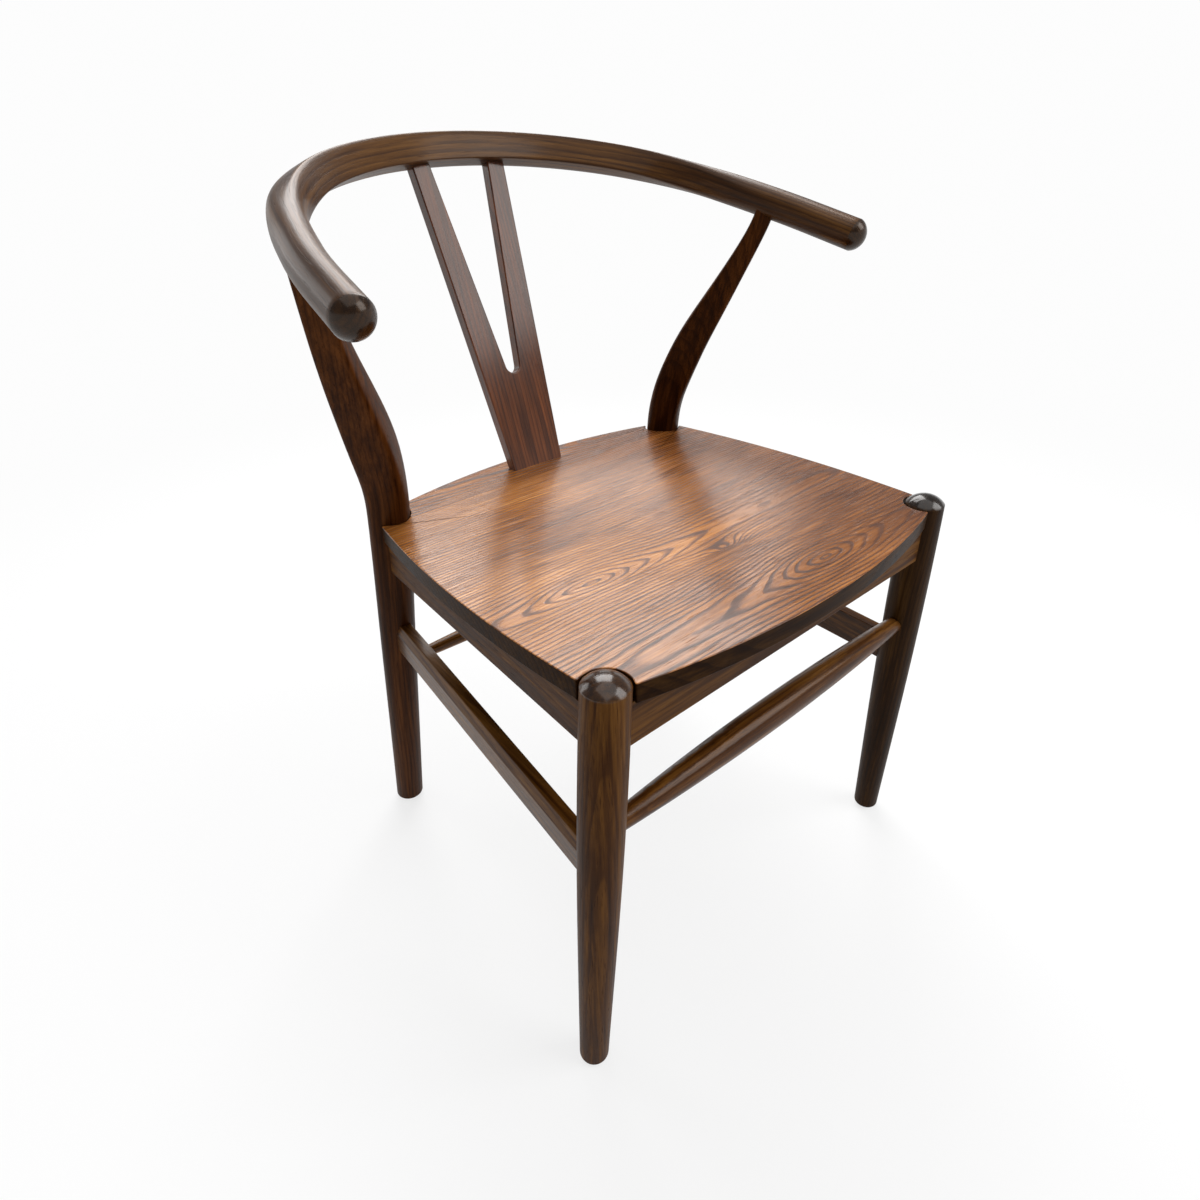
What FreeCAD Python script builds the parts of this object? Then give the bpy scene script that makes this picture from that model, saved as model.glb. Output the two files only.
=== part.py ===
import FreeCAD
import Part
import math
import os

V = FreeCAD.Vector

# A dining chair with a horseshoe top rail, a forked back board and a solid wooden seat.
# Millimetres. X runs across the chair, Y from the front legs to the back, Z up from the floor.

# Stance: where the legs stand at the floor and at seat height, measured between their axes.
seat_height = 450.0
chair_height = 780.0
front_spread_seat = 431.0
front_spread_floor = 485.0
rear_spread_seat = 393.0
rear_spread_floor = 415.0
rear_depth_seat = 352.5
rear_depth_floor = 436.0

# Front legs: turned posts that taper below the stretchers and end in a low dome.
front_leg_dia = 39.0
front_foot_dia = 28.5
front_rim_dia = 37.5
front_taper_height = 300.0
dome_height = 9.0

# Rear legs: round at the foot, squarer above the seat, swept outwards and forwards to the rail.
rear_foot_dia = 34.5
rear_seat_width = 39.0
rear_seat_thickness = 41.0
rear_neck_width = 19.5
rear_neck_thickness = 23.0
neck_taper_start = 0.3
neck_taper_share = 0.65
foot_rounding = 4.0
foot_allowance = 8.0

# Top rail: one bent piece, round at the arms and a leaning rounded bar behind the back.
rail_arm_dia = 31.0
rail_back_height = 28.0
rail_back_thickness = 24.0
rail_lean = 24.0
rail_tip_spread = 556.0
rail_tip_depth = 149.5
rail_tip_height = 676.0
rail_dome_radius = 16.4
rear_leg_on_rail = 0.245

# Back board: a flat Y with a tapered slot, leaning back from the seat to the rail.
splat_recline = 19.0
splat_thickness = 13.0
splat_foot_depth = 367.5
splat_foot_width = 67.5
splat_top_width = 111.0
splat_prong_width = 19.5
slot_bottom_height = 102.5
slot_bottom_radius = 9.0
splat_edge_rounding = 1.5

# Seat: a board with four bowed edges, a shallow dish and cut-outs for the legs.
seat_thickness = 18.0
seat_front_width = 448.0
seat_rear_width = 416.0
seat_front_depth = -6.0
seat_rear_depth = 361.0
seat_front_bow = 32.0
seat_side_bow = 14.5
seat_rear_bow = 34.0
seat_edge_rounding = 1.2
seat_corner_rounding = 2.5
dish_depth = 6.0
dish_margin = 8.0
post_gap = 2.5
leg_gap = 1.6

# Aprons under the seat and the stretchers between the legs.
apron_height = 41.0
apron_thickness = 20.0
apron_edge_rounding = 2.0
front_stretcher_height = 306.0
front_stretcher_dia = 30.0
front_stretcher_end_dia = 17.5
rear_stretcher_height = 246.0
rear_stretcher_dia = 20.0
rear_stretcher_end_dia = 12.5
side_stretcher_front_height = 264.0
side_stretcher_rear_height = 301.0
side_stretcher_height = 36.5
side_stretcher_thickness = 16.0
side_stretcher_bevel_width = 4.0
side_stretcher_bevel_drop = 11.0
side_stretcher_rounding = 1.2

# Joinery.
glue_gap = 0.15
tenon_end_gap = 0.5
tenon_stop = 6.0
apron_tenon_height = 25.0
stretcher_tenon_height = 22.0
side_tenon_thickness = 9.0
dowel_depth = 15.0
neck_tenon_dia = 12.0
neck_tenon_reach = 5.0
neck_tenon_root = 12.0
prong_tenon_width = 12.0
prong_tenon_thickness = 7.0
prong_tenon_reach = 2.0
splat_tenon_width = 50.0
splat_tenon_thickness = 8.0
splat_tenon_depth = 14.0
tenon_root = 10.0

# Corner blocks, screws and foot glides, all out of sight.
block_height = 26.0
block_near = 16.0
block_far = 58.0
screw_dia = 4.0
screw_head_dia = 8.0
screw_head_height = 3.2
screw_hole_gap = 0.1
block_screw_place = 36.0
block_screw_seat = 14.0
block_screw_bite = 11.0
seat_screw_place = 24.0
seat_screw_seat = 9.0
seat_screw_bite = 9.0
glide_dia = 20.0
glide_height = 2.0
glide_stem_dia = 6.0
glide_stem_length = 12.0
glide_edge_rounding = 0.8

apron_top = seat_height - seat_thickness
apron_middle = apron_top - apron_height / 2
recline = math.radians(splat_recline)


def mix(a, b, t):
    return a + (b - a) * t


def ease(t):
    t = min(max(t, 0.0), 1.0)
    return t * t * (3 - 2 * t)


def mirrored(shape):
    return shape.mirror(V(0, 0, 0), V(1, 0, 0))


def front_leg_point(height):
    t = height / seat_height
    return V(mix(front_spread_floor, front_spread_seat, t) / 2, 0, height)


def rear_leg_point(height):
    t = height / seat_height
    x = mix(rear_spread_floor, rear_spread_seat, t) / 2
    return V(x, mix(rear_depth_floor, rear_depth_seat, t), height)


def between(start, end, shape):
    """Lay a shape, modelled along X with Z up, from one point towards another."""
    along = (end - start).normalize()
    left = V(0, 0, 1).cross(along).normalize()
    up = along.cross(left)
    turn = FreeCAD.Matrix(along.x, left.x, up.x, start.x, along.y, left.y, up.y, start.y,
                          along.z, left.z, up.z, start.z, 0, 0, 0, 1)
    return shape.transformed(turn)


def bar(x_from, x_to, thickness, height):
    return Part.makeBox(x_to - x_from, thickness, height, V(x_from, -thickness / 2, -height / 2))


def quarter_poles(sharpness):
    """Poles of a unit quarter circle, drawn towards the corner (1, 1) by the sharpness."""
    pull = 0.5523
    quarter = Part.BezierCurve()
    quarter.setPoles([V(1, 0, 0), V(1, pull, 0), V(pull, 1, 0), V(0, 1, 0)])
    quarter.increase(6)
    poles = quarter.getPoles()
    corner = V(1, 1, 0)
    return [poles[0]] + [p + (corner - p) * sharpness for p in poles[1:-1]] + [poles[-1]]


def rounded_section(centre, across, along, half_across, half_along, sharpness):
    """A closed outline of four quarters, each between an ellipse and a crisp corner."""
    a = across * half_across
    b = along * half_along
    edges = []
    for first, second, sharp in zip((a, b, a * -1, b * -1), (b, a * -1, b * -1, a), sharpness):
        quarter = Part.BezierCurve()
        quarter.setPoles([centre + first * p.x + second * p.y for p in quarter_poles(sharp)])
        edges.append(quarter.toShape())
    return Part.Wire(edges)


def level_foot(leg):
    """Cut a leg flat just above the floor and round its lower edge."""
    below = Part.makeBox(2000, 2000, 100, V(-1000, -1000, glide_height - 100))
    trimmed = leg.cut(below)
    rim = [e for e in trimmed.Edges if e.BoundBox.ZMax < glide_height + 0.01]
    return trimmed.makeFillet(foot_rounding, rim)


# Front leg: the profile of a post turned on its own axis, which leans outwards to the floor.
front_foot = front_leg_point(0)
front_axis = front_leg_point(seat_height) - front_foot
post_length = front_axis.Length
post_radius = front_leg_dia / 2
foot_radius = front_foot_dia / 2
rim_radius = front_rim_dia / 2
profile_curve = Part.BSplineCurve()
profile_curve.interpolate([
    V(foot_radius, 0, 0),
    V(mix(foot_radius, post_radius, 0.52), 0, front_taper_height * 0.45),
    V(mix(foot_radius, post_radius, 0.92), 0, front_taper_height * 0.88),
    V(post_radius, 0, mix(front_taper_height, post_length, 0.4)),
    V(rim_radius, 0, post_length),
])
dome = Part.BezierCurve()
dome.setPoles([
    V(rim_radius, 0, post_length),
    V(rim_radius * 0.6, 0, post_length + dome_height),
    V(0, 0, post_length + dome_height),
])
post_profile = Part.Wire([
    Part.makeLine(V(0, 0, -foot_allowance), V(foot_radius, 0, -foot_allowance)),
    Part.makeLine(V(foot_radius, 0, -foot_allowance), V(foot_radius, 0, 0)),
    profile_curve.toShape(),
    dome.toShape(),
    Part.makeLine(V(0, 0, post_length + dome_height), V(0, 0, -foot_allowance)),
])
post = Part.Face(post_profile).revolve(V(0, 0, 0), V(0, 0, 1), 360)
lean = FreeCAD.Rotation(V(0, 0, 1), front_axis)
post.Placement = FreeCAD.Placement(front_foot, lean)
front_leg_blank = Part.Solid(level_foot(post).Solids[0])


# Top rail: the centre line is a symmetrical curve in a plane that climbs towards the back.
def rail_outline(centre, ahead, flatness):
    """Round at the arms; behind the back a leaning bar, flat inside, with a crisp lower edge."""
    outward = V(ahead.y, -ahead.x, 0).normalize()
    lean_angle = math.radians(rail_lean) * flatness
    upright = V(0, 0, 1) * math.cos(lean_angle) + outward * math.sin(lean_angle)
    upright = (upright - ahead * upright.dot(ahead)).normalize()
    outward = ahead.cross(upright)
    half_thick = mix(rail_arm_dia, rail_back_thickness, flatness) / 2
    half_high = mix(rail_arm_dia, rail_back_height, flatness) / 2
    sharpness = [w * flatness for w in (0.45, 0.75, 0.92, 0.5)]
    return rounded_section(centre, outward, upright, half_thick, half_high, sharpness)


back_outline = rail_outline(V(0, 0, 0), V(-1, 0, 0), 1)
rail_back_centre = chair_height - back_outline.optimalBoundingBox(False).ZMax
rail_back_depth = splat_foot_depth + (rail_back_centre - seat_height) * math.tan(recline)

# Each pair is a share of the half width and of the depth from the arm tips to the back.
rail_plan = [(1.0, 0.0), (0.945, 0.330), (0.832, 0.612), (0.613, 0.830), (0.321, 0.958)]
right_points = []
for share_x, share_y in rail_plan:
    depth = mix(rail_tip_depth, rail_back_depth, share_y)
    climb = mix(rail_tip_height, rail_back_centre, share_y)
    right_points.append(V(share_x * rail_tip_spread / 2, depth, climb))
back_point = V(0, rail_back_depth, rail_back_centre)
left_points = [V(-p.x, p.y, p.z) for p in reversed(right_points)]
rail_points = right_points + [back_point] + left_points
rail_stops = [0.0]
for i in range(1, len(rail_points)):
    rail_stops.append(rail_stops[-1] + (rail_points[i] - rail_points[i - 1]).Length)
rail_line = Part.BSplineCurve()
rail_line.interpolate(Points=rail_points, Parameters=rail_stops)
rail_run = rail_stops[-1]


def rail_tangent(stop):
    return rail_line.tangent(stop)[0]


def rail_section(stop):
    share = min(stop, rail_run - stop) / (rail_run / 2)
    return rail_outline(rail_line.value(stop), rail_tangent(stop), ease((share - 0.26) / 0.34))


rail_sections = 33
rail_wires = [rail_section(rail_run * i / (rail_sections - 1)) for i in range(rail_sections)]
rail_bar = Part.makeLoft(rail_wires, True, False)
for stop, sign in ((0.0, 1), (rail_run, -1)):
    inward = rail_tangent(stop) * sign
    ball_centre = rail_line.value(stop) + inward * (rail_dome_radius + 1)
    ball = Part.makeSphere(rail_dome_radius, ball_centre)
    waste = Part.makeCylinder(rail_arm_dia, 2 * rail_arm_dia, ball_centre - inward * 2, inward * -1)
    rail_bar = rail_bar.cut(waste.cut(ball))

# Rear leg: a straight raked shank below the seat, then an S swept out and forward to the rail.
# Each triple is a share of the rise, of the outward sweep and of the forward sweep.
leg_sweep = [(0.14, 0.0, 0.06), (0.29, 0.11, 0.18), (0.45, 0.31, 0.34), (0.60, 0.54, 0.53),
             (0.76, 0.77, 0.74), (0.91, 0.94, 0.93)]
seat_point = rear_leg_point(seat_height - 5)
rail_seat = rail_line.value(rear_leg_on_rail * rail_run / 2)
leg_rise = rail_seat - seat_point
leg_points = [rear_leg_point(h) for h in (-foot_allowance, seat_height * 0.35, seat_height * 0.7)]
leg_points.append(seat_point)
for rise, sweep_out, sweep_forward in leg_sweep:
    step = V(leg_rise.x * sweep_out, leg_rise.y * sweep_forward, leg_rise.z * rise)
    leg_points.append(seat_point + step)
leg_points.append(rail_seat)
leg_line = Part.BSplineCurve()
leg_line.interpolate(Points=leg_points, Parameters=[p.z for p in leg_points])
plank = V(0, 0, 1).cross(V(leg_rise.x, leg_rise.y, 0)).normalize()
rear_sections = 24


def rear_leg_section(height, grow):
    upper = min(max((height - seat_point.z) / leg_rise.z, 0), 1)
    lower = min(max(height / seat_point.z, 0), 1)
    neck = ease((upper - neck_taper_start) / neck_taper_share)
    width = mix(mix(rear_foot_dia, rear_seat_width, lower), rear_neck_width, neck)
    thickness = mix(mix(rear_foot_dia, rear_seat_thickness, lower), rear_neck_thickness, neck)
    sharp = 0.3 * ease(lower) + 0.42 * ease(upper / 0.35)
    ahead = leg_line.tangent(height)[0]
    across = plank.cross(ahead).normalize()
    along = ahead.cross(across)
    centre = leg_line.value(height)
    return rounded_section(centre, across, along, width / 2 + grow, thickness / 2 + grow, [sharp] * 4)


def rear_leg_body(grow):
    low = leg_points[0].z
    heights = [mix(low, rail_seat.z, i / rear_sections) for i in range(rear_sections + 1)]
    return Part.makeLoft([rear_leg_section(h, grow) for h in heights], True, False)


rear_leg_blank = level_foot(rear_leg_body(0).cut(rail_bar))
neck_axis = leg_line.tangent(rail_seat.z)[0]
neck_length = rail_arm_dia / 2 + neck_tenon_root + neck_tenon_reach
neck_start = rail_seat + neck_axis * (neck_tenon_reach - neck_length)
neck_tenon = Part.makeCylinder(neck_tenon_dia / 2, neck_length, neck_start, neck_axis)
neck_bore = Part.makeCylinder(
    neck_tenon_dia / 2 + glue_gap,
    neck_length + tenon_end_gap,
    neck_start,
    neck_axis,
)

# Aprons: boards between the legs, their shoulders cut to the round of the legs, with tenons.
front_joint = front_leg_point(apron_middle)
rear_joint = rear_leg_point(apron_middle)


def board(length):
    """An apron board from leg axis to leg axis with its lower edges eased."""
    blank = bar(0, length, apron_thickness, apron_height)
    low = [e for e in blank.Edges if e.BoundBox.ZMax < 0 and e.BoundBox.XLength > length / 2]
    return blank.makeFillet(apron_edge_rounding, low)


def apron(start, end, legs):
    """The apron with its shoulders and tenons, and the space that its tenons take in the legs."""
    length = (end - start).Length
    body = between(start, end, board(length))
    for leg in legs:
        body = body.cut(leg)
    tenon = bar(tenon_stop, length - tenon_stop, side_tenon_thickness, apron_tenon_height)
    body = body.fuse(between(start, end, tenon)).removeSplitter()
    short = tenon_stop - tenon_end_gap
    room = bar(
        short,
        length - short,
        side_tenon_thickness + 2 * glue_gap,
        apron_tenon_height + 2 * glue_gap,
    )
    return body, between(start, end, room)


front_leg_left_blank = mirrored(front_leg_blank)
rear_leg_left_blank = mirrored(rear_leg_blank)
front_joint_left = V(-front_joint.x, front_joint.y, front_joint.z)
rear_joint_left = V(-rear_joint.x, rear_joint.y, rear_joint.z)
front_pair = [front_leg_left_blank, front_leg_blank]
rear_pair = [rear_leg_left_blank, rear_leg_blank]
right_pair = [front_leg_blank, rear_leg_blank]
front_apron, front_apron_room = apron(front_joint_left, front_joint, front_pair)
rear_apron, rear_apron_room = apron(rear_joint_left, rear_joint, rear_pair)
right_apron, right_apron_room = apron(front_joint, rear_joint, right_pair)


# Front and rear stretchers: turned spindles that swell to the middle and plug into round bores.
def spindle(start, end, middle_dia, end_dia, end_radius):
    """The spindle and the bores for its ends; end_radius is the leg's radius where it enters."""
    length = (end - start).Length
    inset = end_radius - dowel_depth
    neck = end_radius
    r = end_dia / 2
    swell = Part.Arc(V(neck, r, 0), V(length / 2, middle_dia / 2, 0), V(length - neck, r, 0))
    outline = Part.Wire([
        Part.makeLine(V(inset, 0, 0), V(inset, r, 0)),
        Part.makeLine(V(inset, r, 0), V(neck, r, 0)),
        swell.toShape(),
        Part.makeLine(V(length - neck, r, 0), V(length - inset, r, 0)),
        Part.makeLine(V(length - inset, r, 0), V(length - inset, 0, 0)),
        Part.makeLine(V(length - inset, 0, 0), V(inset, 0, 0)),
    ])
    body = Part.Face(outline).revolve(V(0, 0, 0), V(1, 0, 0), 360)
    short = inset - tenon_end_gap
    bore = Part.makeCylinder(r + glue_gap, length - 2 * short, V(short, 0, 0), V(1, 0, 0))
    return Part.Solid(between(start, end, body).Solids[0]), between(start, end, bore)


front_at = front_leg_point(front_stretcher_height)
rear_at = rear_leg_point(rear_stretcher_height)
rear_radius = mix(rear_foot_dia, rear_seat_width, rear_stretcher_height / seat_height) / 2
front_stretcher, front_bore = spindle(
    V(-front_at.x, front_at.y, front_at.z),
    front_at,
    front_stretcher_dia,
    front_stretcher_end_dia,
    post_radius,
)
rear_stretcher, rear_bore = spindle(
    V(-rear_at.x, rear_at.y, rear_at.z),
    rear_at,
    rear_stretcher_dia,
    rear_stretcher_end_dia,
    rear_radius,
)

# Side stretchers: tall boards that climb to the back, bevelled along the outer upper edge.
side_start = front_leg_point(side_stretcher_front_height)
side_end = rear_leg_point(side_stretcher_rear_height)
side_length = (side_end - side_start).Length
half_t = side_stretcher_thickness / 2
half_h = side_stretcher_height / 2
side_outline = [
    V(0, half_t, -half_h),
    V(0, half_t, half_h),
    V(0, side_stretcher_bevel_width - half_t, half_h),
    V(0, -half_t, half_h - side_stretcher_bevel_drop),
    V(0, -half_t, -half_h),
    V(0, half_t, -half_h),
]
side_blank = Part.Face(Part.makePolygon(side_outline)).extrude(V(side_length, 0, 0))
side_edges = [e for e in side_blank.Edges if e.BoundBox.XLength > side_length / 2]
side_blank = side_blank.makeFillet(side_stretcher_rounding, side_edges)
side_stretcher = between(side_start, side_end, side_blank).cut(front_leg_blank).cut(rear_leg_blank)
side_tenon = bar(tenon_stop, side_length - tenon_stop, side_tenon_thickness, stretcher_tenon_height)
side_stretcher = side_stretcher.fuse(between(side_start, side_end, side_tenon)).removeSplitter()
side_short = tenon_stop - tenon_end_gap
side_room = between(side_start, side_end, bar(
    side_short,
    side_length - side_short,
    side_tenon_thickness + 2 * glue_gap,
    stretcher_tenon_height + 2 * glue_gap,
))

# Seat: four bowed edges cut out round the legs, every rim rounded over, then dished.
half_front = seat_front_width / 2
half_rear = seat_rear_width / 2
front_left = V(-half_front, seat_front_depth, apron_top)
front_right = V(half_front, seat_front_depth, apron_top)
rear_left = V(-half_rear, seat_rear_depth, apron_top)
rear_right = V(half_rear, seat_rear_depth, apron_top)
side_reach = mix(half_front, half_rear, 0.5) + seat_side_bow
side_middle = V(side_reach, mix(seat_front_depth, seat_rear_depth, 0.5), apron_top)
seat_outline = Part.Wire([
    Part.Arc(front_left, V(0, seat_front_depth - seat_front_bow, apron_top), front_right).toShape(),
    Part.Arc(front_right, side_middle, rear_right).toShape(),
    Part.Arc(rear_right, V(0, seat_rear_depth + seat_rear_bow, apron_top), rear_left).toShape(),
    Part.Arc(rear_left, V(-side_middle.x, side_middle.y, apron_top), front_left).toShape(),
])
seat = Part.Face(seat_outline).extrude(V(0, 0, seat_thickness))
seat_middle = seat_height - seat_thickness / 2
below = V(0, 0, -seat_thickness)
post_start = front_leg_point(seat_middle) + below
post_room = Part.makeCylinder(post_radius + post_gap, 2 * seat_thickness, post_start)
leg_room = Part.Face(rear_leg_section(seat_middle, leg_gap)).extrude(below * -2)
leg_room.translate(below)
for room in (post_room, leg_room):
    seat = seat.cut(room).cut(mirrored(room))
seat_corners = []
for edge in seat.Edges:
    low_end = min((v.Point for v in edge.Vertexes), key=lambda p: p.z)
    on_outline = seat_outline.distToShape(Part.Vertex(low_end))[0] < 0.01
    if on_outline and edge.BoundBox.ZLength > seat_thickness - 0.01:
        seat_corners.append(edge)
seat = seat.makeFillet(seat_corner_rounding, seat_corners)
seat_rims = []
for face in seat.Faces:
    if face.BoundBox.ZLength < 0.01:
        seat_rims += face.OuterWire.Edges
seat = seat.makeFillet(seat_edge_rounding, seat_rims)
dish_front = seat_front_depth - seat_front_bow + dish_margin
dish_rear = splat_foot_depth - splat_thickness / 2 - dish_margin
dish_radius = (dish_rear - dish_front) / 2
ball_radius = (dish_radius ** 2 + dish_depth ** 2) / (2 * dish_depth)
dish_ball = Part.makeSphere(ball_radius)
dish_ball.rotate(V(0, 0, 0), V(1, 0, 0), 90)
dish_ball.translate(V(0, mix(dish_front, dish_rear, 0.5), seat_height - dish_depth + ball_radius))
seat = seat.cut(dish_ball)

# Back board: drawn flat, standing on its foot, then leaned back; the fork rises to the rail.
splat_length = (rail_back_centre - seat_height) / math.cos(recline)
splat_underside = splat_length - rail_back_height / 2
flare = (splat_top_width - splat_foot_width) / 2 / splat_underside


def splat_half(height):
    return splat_foot_width / 2 + flare * height


splat_start = -(seat_thickness + splat_tenon_depth) / math.cos(recline)
slot_top_half = splat_half(splat_length) - splat_prong_width
splat_outline = Part.makePolygon([
    V(-splat_half(splat_start), 0, splat_start),
    V(splat_half(splat_start), 0, splat_start),
    V(splat_half(splat_length), 0, splat_length),
    V(-splat_half(splat_length), 0, splat_length),
    V(-splat_half(splat_start), 0, splat_start),
])
splat_blank = Part.Face(splat_outline).extrude(V(0, splat_thickness, 0))
splat_blank.translate(V(0, -splat_thickness / 2, 0))
slot_centre = slot_bottom_height + slot_bottom_radius
slot_rise = splat_length + 1 - slot_centre
slot_reach = math.hypot(slot_top_half, slot_rise)
slot_angle = math.atan2(slot_top_half, slot_rise) - math.asin(slot_bottom_radius / slot_reach)
wall_x = slot_bottom_radius * math.cos(slot_angle)
wall_z = slot_centre - slot_bottom_radius * math.sin(slot_angle)
slot_arc = Part.Arc(
    V(-wall_x, -splat_thickness, wall_z),
    V(0, -splat_thickness, slot_bottom_height),
    V(wall_x, -splat_thickness, wall_z),
)
slot_wall = Part.makePolygon([
    V(wall_x, -splat_thickness, wall_z),
    V(slot_top_half, -splat_thickness, splat_length + 1),
    V(-slot_top_half, -splat_thickness, splat_length + 1),
    V(-wall_x, -splat_thickness, wall_z),
])
slot = Part.Face(Part.Wire([slot_arc.toShape()] + slot_wall.Edges)).extrude(V(0, 2 * splat_thickness, 0))
splat_blank = splat_blank.cut(slot)
splat_faces = [f for f in splat_blank.Faces if abs(f.CenterOfMass.y) > splat_thickness / 2 - 0.01]
splat_edges = [e for f in splat_faces for e in f.Edges if splat_length - 1 > e.CenterOfMass.z > 0]
splat_blank = splat_blank.makeFillet(splat_edge_rounding, splat_edges)
splat_place = FreeCAD.Placement(
    V(0, splat_foot_depth, seat_height),
    FreeCAD.Rotation(V(1, 0, 0), -splat_recline),
)


def on_splat(shape):
    return shape.transformed(splat_place.toMatrix())


def splat_bar(x, width, thickness, low, high):
    return on_splat(Part.makeBox(width, thickness, high - low, V(x - width / 2, -thickness / 2, low)))


prong_middle = splat_half(splat_underside) - splat_prong_width / 2
below_seat = Part.makeBox(400, 400, 100, V(-200, splat_foot_depth - 200, seat_height - 100))
below_seat = below_seat.cut(dish_ball)
back_splat = on_splat(splat_blank).cut(rail_bar).cut(below_seat)
foot_tenon = splat_bar(0, splat_tenon_width, splat_tenon_thickness, splat_start, tenon_root)
back_splat = back_splat.fuse(foot_tenon)
splat_room = splat_bar(
    0,
    splat_tenon_width + 2 * glue_gap,
    splat_tenon_thickness + 2 * glue_gap,
    splat_start - tenon_end_gap,
    tenon_root,
)
prong_high = splat_length + prong_tenon_reach
prong_rooms = []
for side in (-1, 1):
    tenon = splat_bar(
        side * prong_middle,
        prong_tenon_width,
        prong_tenon_thickness,
        splat_underside - tenon_root,
        prong_high,
    )
    back_splat = back_splat.fuse(tenon)
    prong_rooms.append(splat_bar(
        side * prong_middle,
        prong_tenon_width + 2 * glue_gap,
        prong_tenon_thickness + 2 * glue_gap,
        splat_underside - tenon_root,
        prong_high + tenon_end_gap,
    ))
back_splat = back_splat.removeSplitter()
seat = seat.cut(splat_room)
rear_apron = rear_apron.cut(splat_room)

# The legs and the rail with their mortises and bores.
top_rail = rail_bar.cut(neck_bore).cut(mirrored(neck_bore))
for room in prong_rooms:
    top_rail = top_rail.cut(room)
front_leg_right = front_leg_blank
for room in (front_apron_room, right_apron_room, front_bore, side_room):
    front_leg_right = front_leg_right.cut(room)
rear_leg_right = rear_leg_blank.fuse(neck_tenon).removeSplitter()
for room in (rear_apron_room, right_apron_room, rear_bore, side_room):
    rear_leg_right = rear_leg_right.cut(room)


# Corner blocks: glued and screwed into the corners of the aprons, and screwed up to the seat.
def level_with(height, point):
    return V(point.x, point.y, height)


def wood_screw(head_seat, direction, reach, allowance):
    """A screw whose head bears at head_seat; the allowance makes the hole for it."""
    shank = Part.makeCylinder(screw_dia / 2 + allowance, reach + allowance, head_seat, direction)
    tall = screw_head_height if allowance == 0 else block_far
    head = Part.makeCylinder(screw_head_dia / 2 + 2 * allowance, tall, head_seat, direction * -1)
    return shank.fuse(head).removeSplitter()


def corner_block(corner, along_a, along_b):
    """The block in the corner between two apron faces, its screws and the holes for them."""
    low = apron_top - block_height
    ring = [corner + along_a * block_near, corner + along_a * block_far]
    ring += [corner + along_b * block_far, corner + along_b * block_near]
    ring = [level_with(low, p) for p in ring]
    body = Part.Face(Part.makePolygon(ring + ring[:1])).extrude(V(0, 0, block_height))
    holes = []
    side_screws = []
    middle = low + block_height / 2
    for along, other in ((along_a, along_b), (along_b, along_a)):
        into = along * along.dot(other) - other
        into.normalize()
        head_seat = level_with(middle, corner + along * block_screw_place - into * block_screw_seat)
        reach = block_screw_seat + block_screw_bite
        side_screws.append(wood_screw(head_seat, into, reach, 0))
        holes.append(wood_screw(head_seat, into, reach, screw_hole_gap))
    head_seat = level_with(low + seat_screw_seat, corner + (along_a + along_b) * seat_screw_place)
    reach = block_height - seat_screw_seat + seat_screw_bite
    seat_screw = wood_screw(head_seat, V(0, 0, 1), reach, 0)
    holes.append(wood_screw(head_seat, V(0, 0, 1), reach, screw_hole_gap))
    for hole in holes:
        body = body.cut(hole)
    return body, side_screws, seat_screw, holes


def crossing(point_a, along_a, point_b, along_b):
    """Where two level lines meet."""
    gap = point_b - point_a
    t = (gap.x * along_b.y - gap.y * along_b.x) / (along_a.x * along_b.y - along_a.y * along_b.x)
    return point_a + along_a * t


across = V(-1, 0, 0)
back = (rear_joint - front_joint).normalize()
inner = V(0, 0, 1).cross(back)
half_board = apron_thickness / 2
front_face = front_joint + V(0, half_board, 0)
rear_face = rear_joint - V(0, half_board, 0)
side_face = front_joint + inner * half_board
front_corner = crossing(front_face, across, side_face, back)
rear_corner = crossing(rear_face, across, side_face, back)
front_block, front_side_screws, front_seat_screw, front_holes = corner_block(front_corner, across, back)
rear_block, rear_side_screws, rear_seat_screw, rear_holes = corner_block(rear_corner, across, back * -1)
block_screws = front_side_screws + rear_side_screws
block_screws += [mirrored(s) for s in block_screws]
seat_screws = [front_seat_screw, rear_seat_screw]
seat_screws += [mirrored(s) for s in seat_screws]
for hole in front_holes + rear_holes:
    right_apron = right_apron.cut(hole)
for hole in front_holes:
    front_apron = front_apron.cut(hole).cut(mirrored(hole))
for hole in rear_holes:
    rear_apron = rear_apron.cut(hole).cut(mirrored(hole))
for hole in (front_holes[2], rear_holes[2]):
    seat = seat.cut(hole).cut(mirrored(hole))


# Foot glides: small discs that carry the legs just clear of the floor.
def glide(foot):
    disc = Part.makeCylinder(glide_dia / 2, glide_height, V(foot.x, foot.y, 0))
    disc = disc.makeFillet(glide_edge_rounding, [e for e in disc.Edges if e.BoundBox.ZMax < 0.01])
    stem = Part.makeCylinder(glide_stem_dia / 2, glide_height + glide_stem_length, V(foot.x, foot.y, 0))
    bore = Part.makeCylinder(
        glide_stem_dia / 2 + glue_gap,
        glide_height + glide_stem_length + tenon_end_gap,
        V(foot.x, foot.y, 0),
    )
    return disc.fuse(stem).removeSplitter(), bore


front_glide, front_glide_bore = glide(front_leg_point(0))
rear_glide, rear_glide_bore = glide(rear_leg_point(0))
front_leg_right = front_leg_right.cut(front_glide_bore)
rear_leg_right = rear_leg_right.cut(rear_glide_bore)

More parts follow.
